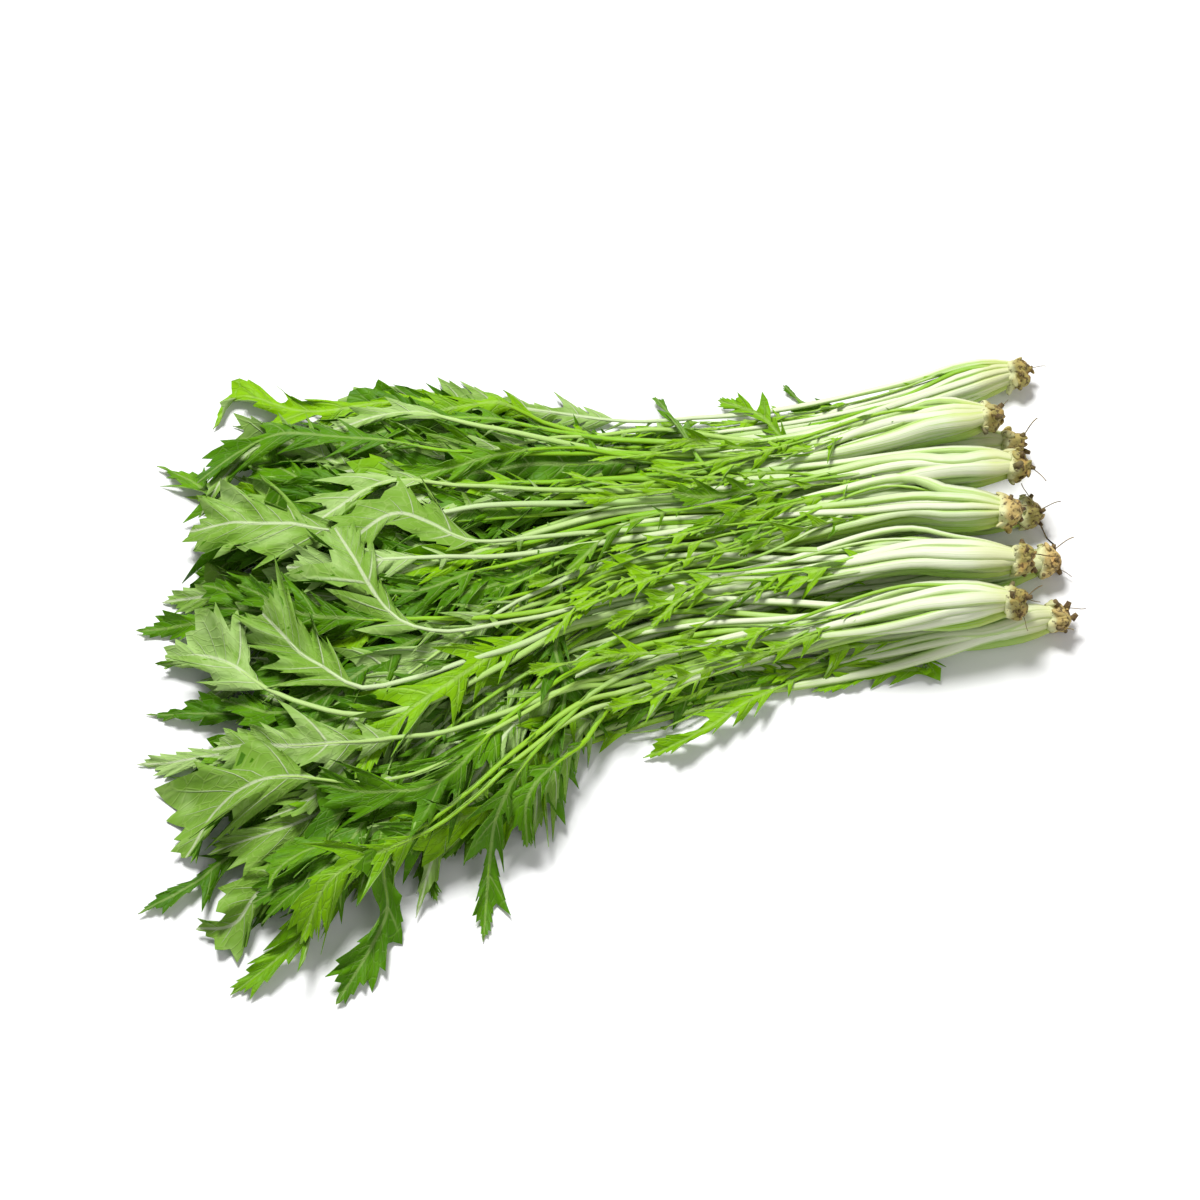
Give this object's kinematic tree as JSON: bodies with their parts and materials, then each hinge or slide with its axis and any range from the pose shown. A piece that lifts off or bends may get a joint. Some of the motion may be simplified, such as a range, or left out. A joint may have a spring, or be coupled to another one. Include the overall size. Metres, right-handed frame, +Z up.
{
  "type": "mizuna bunch",
  "caption": "Bunch of mizuna lying on its side: cut heads with pale juicy stalks at one end, fanning into jagged green leaves.",
  "frame": {"origin": "on the surface the bunch rests on, under the middle of its bounding box", "axes": "+X along the bunch from the leaves to the cut root crowns, +Z up from the surface, +Y away from the side that the picture is taken from"},
  "size_m": [0.3162, 0.246, 0.0348],
  "materials": {
    "leaf_green": "satin leaf and stalk",
    "root_brown": "rough cut root crown"
  },
  "bodies": {
    "root": {"leafy_stems_back_low": "leaf_green", "leafy_stems_inner_low": "leaf_green", "leafy_stems_middle_low": "leaf_green", "leafy_stems_front_low": "leaf_green", "leafy_stems_edge_low": "leaf_green", "leafy_stems_back_top": "leaf_green", "leafy_stems_inner_top": "leaf_green", "leafy_stems_middle_top": "leaf_green", "leafy_stems_front_top": "leaf_green", "leafy_stems_edge_top": "leaf_green", "root_crown_back_low": "root_brown", "root_crown_inner_low": "root_brown", "root_crown_middle_low": "root_brown", "root_crown_front_low": "root_brown", "root_crown_edge_low": "root_brown", "root_crown_back_top": "root_brown", "root_crown_inner_top": "root_brown", "root_crown_middle_top": "root_brown", "root_crown_front_top": "root_brown", "root_crown_edge_top": "root_brown"}
  },
  "joints": []
}
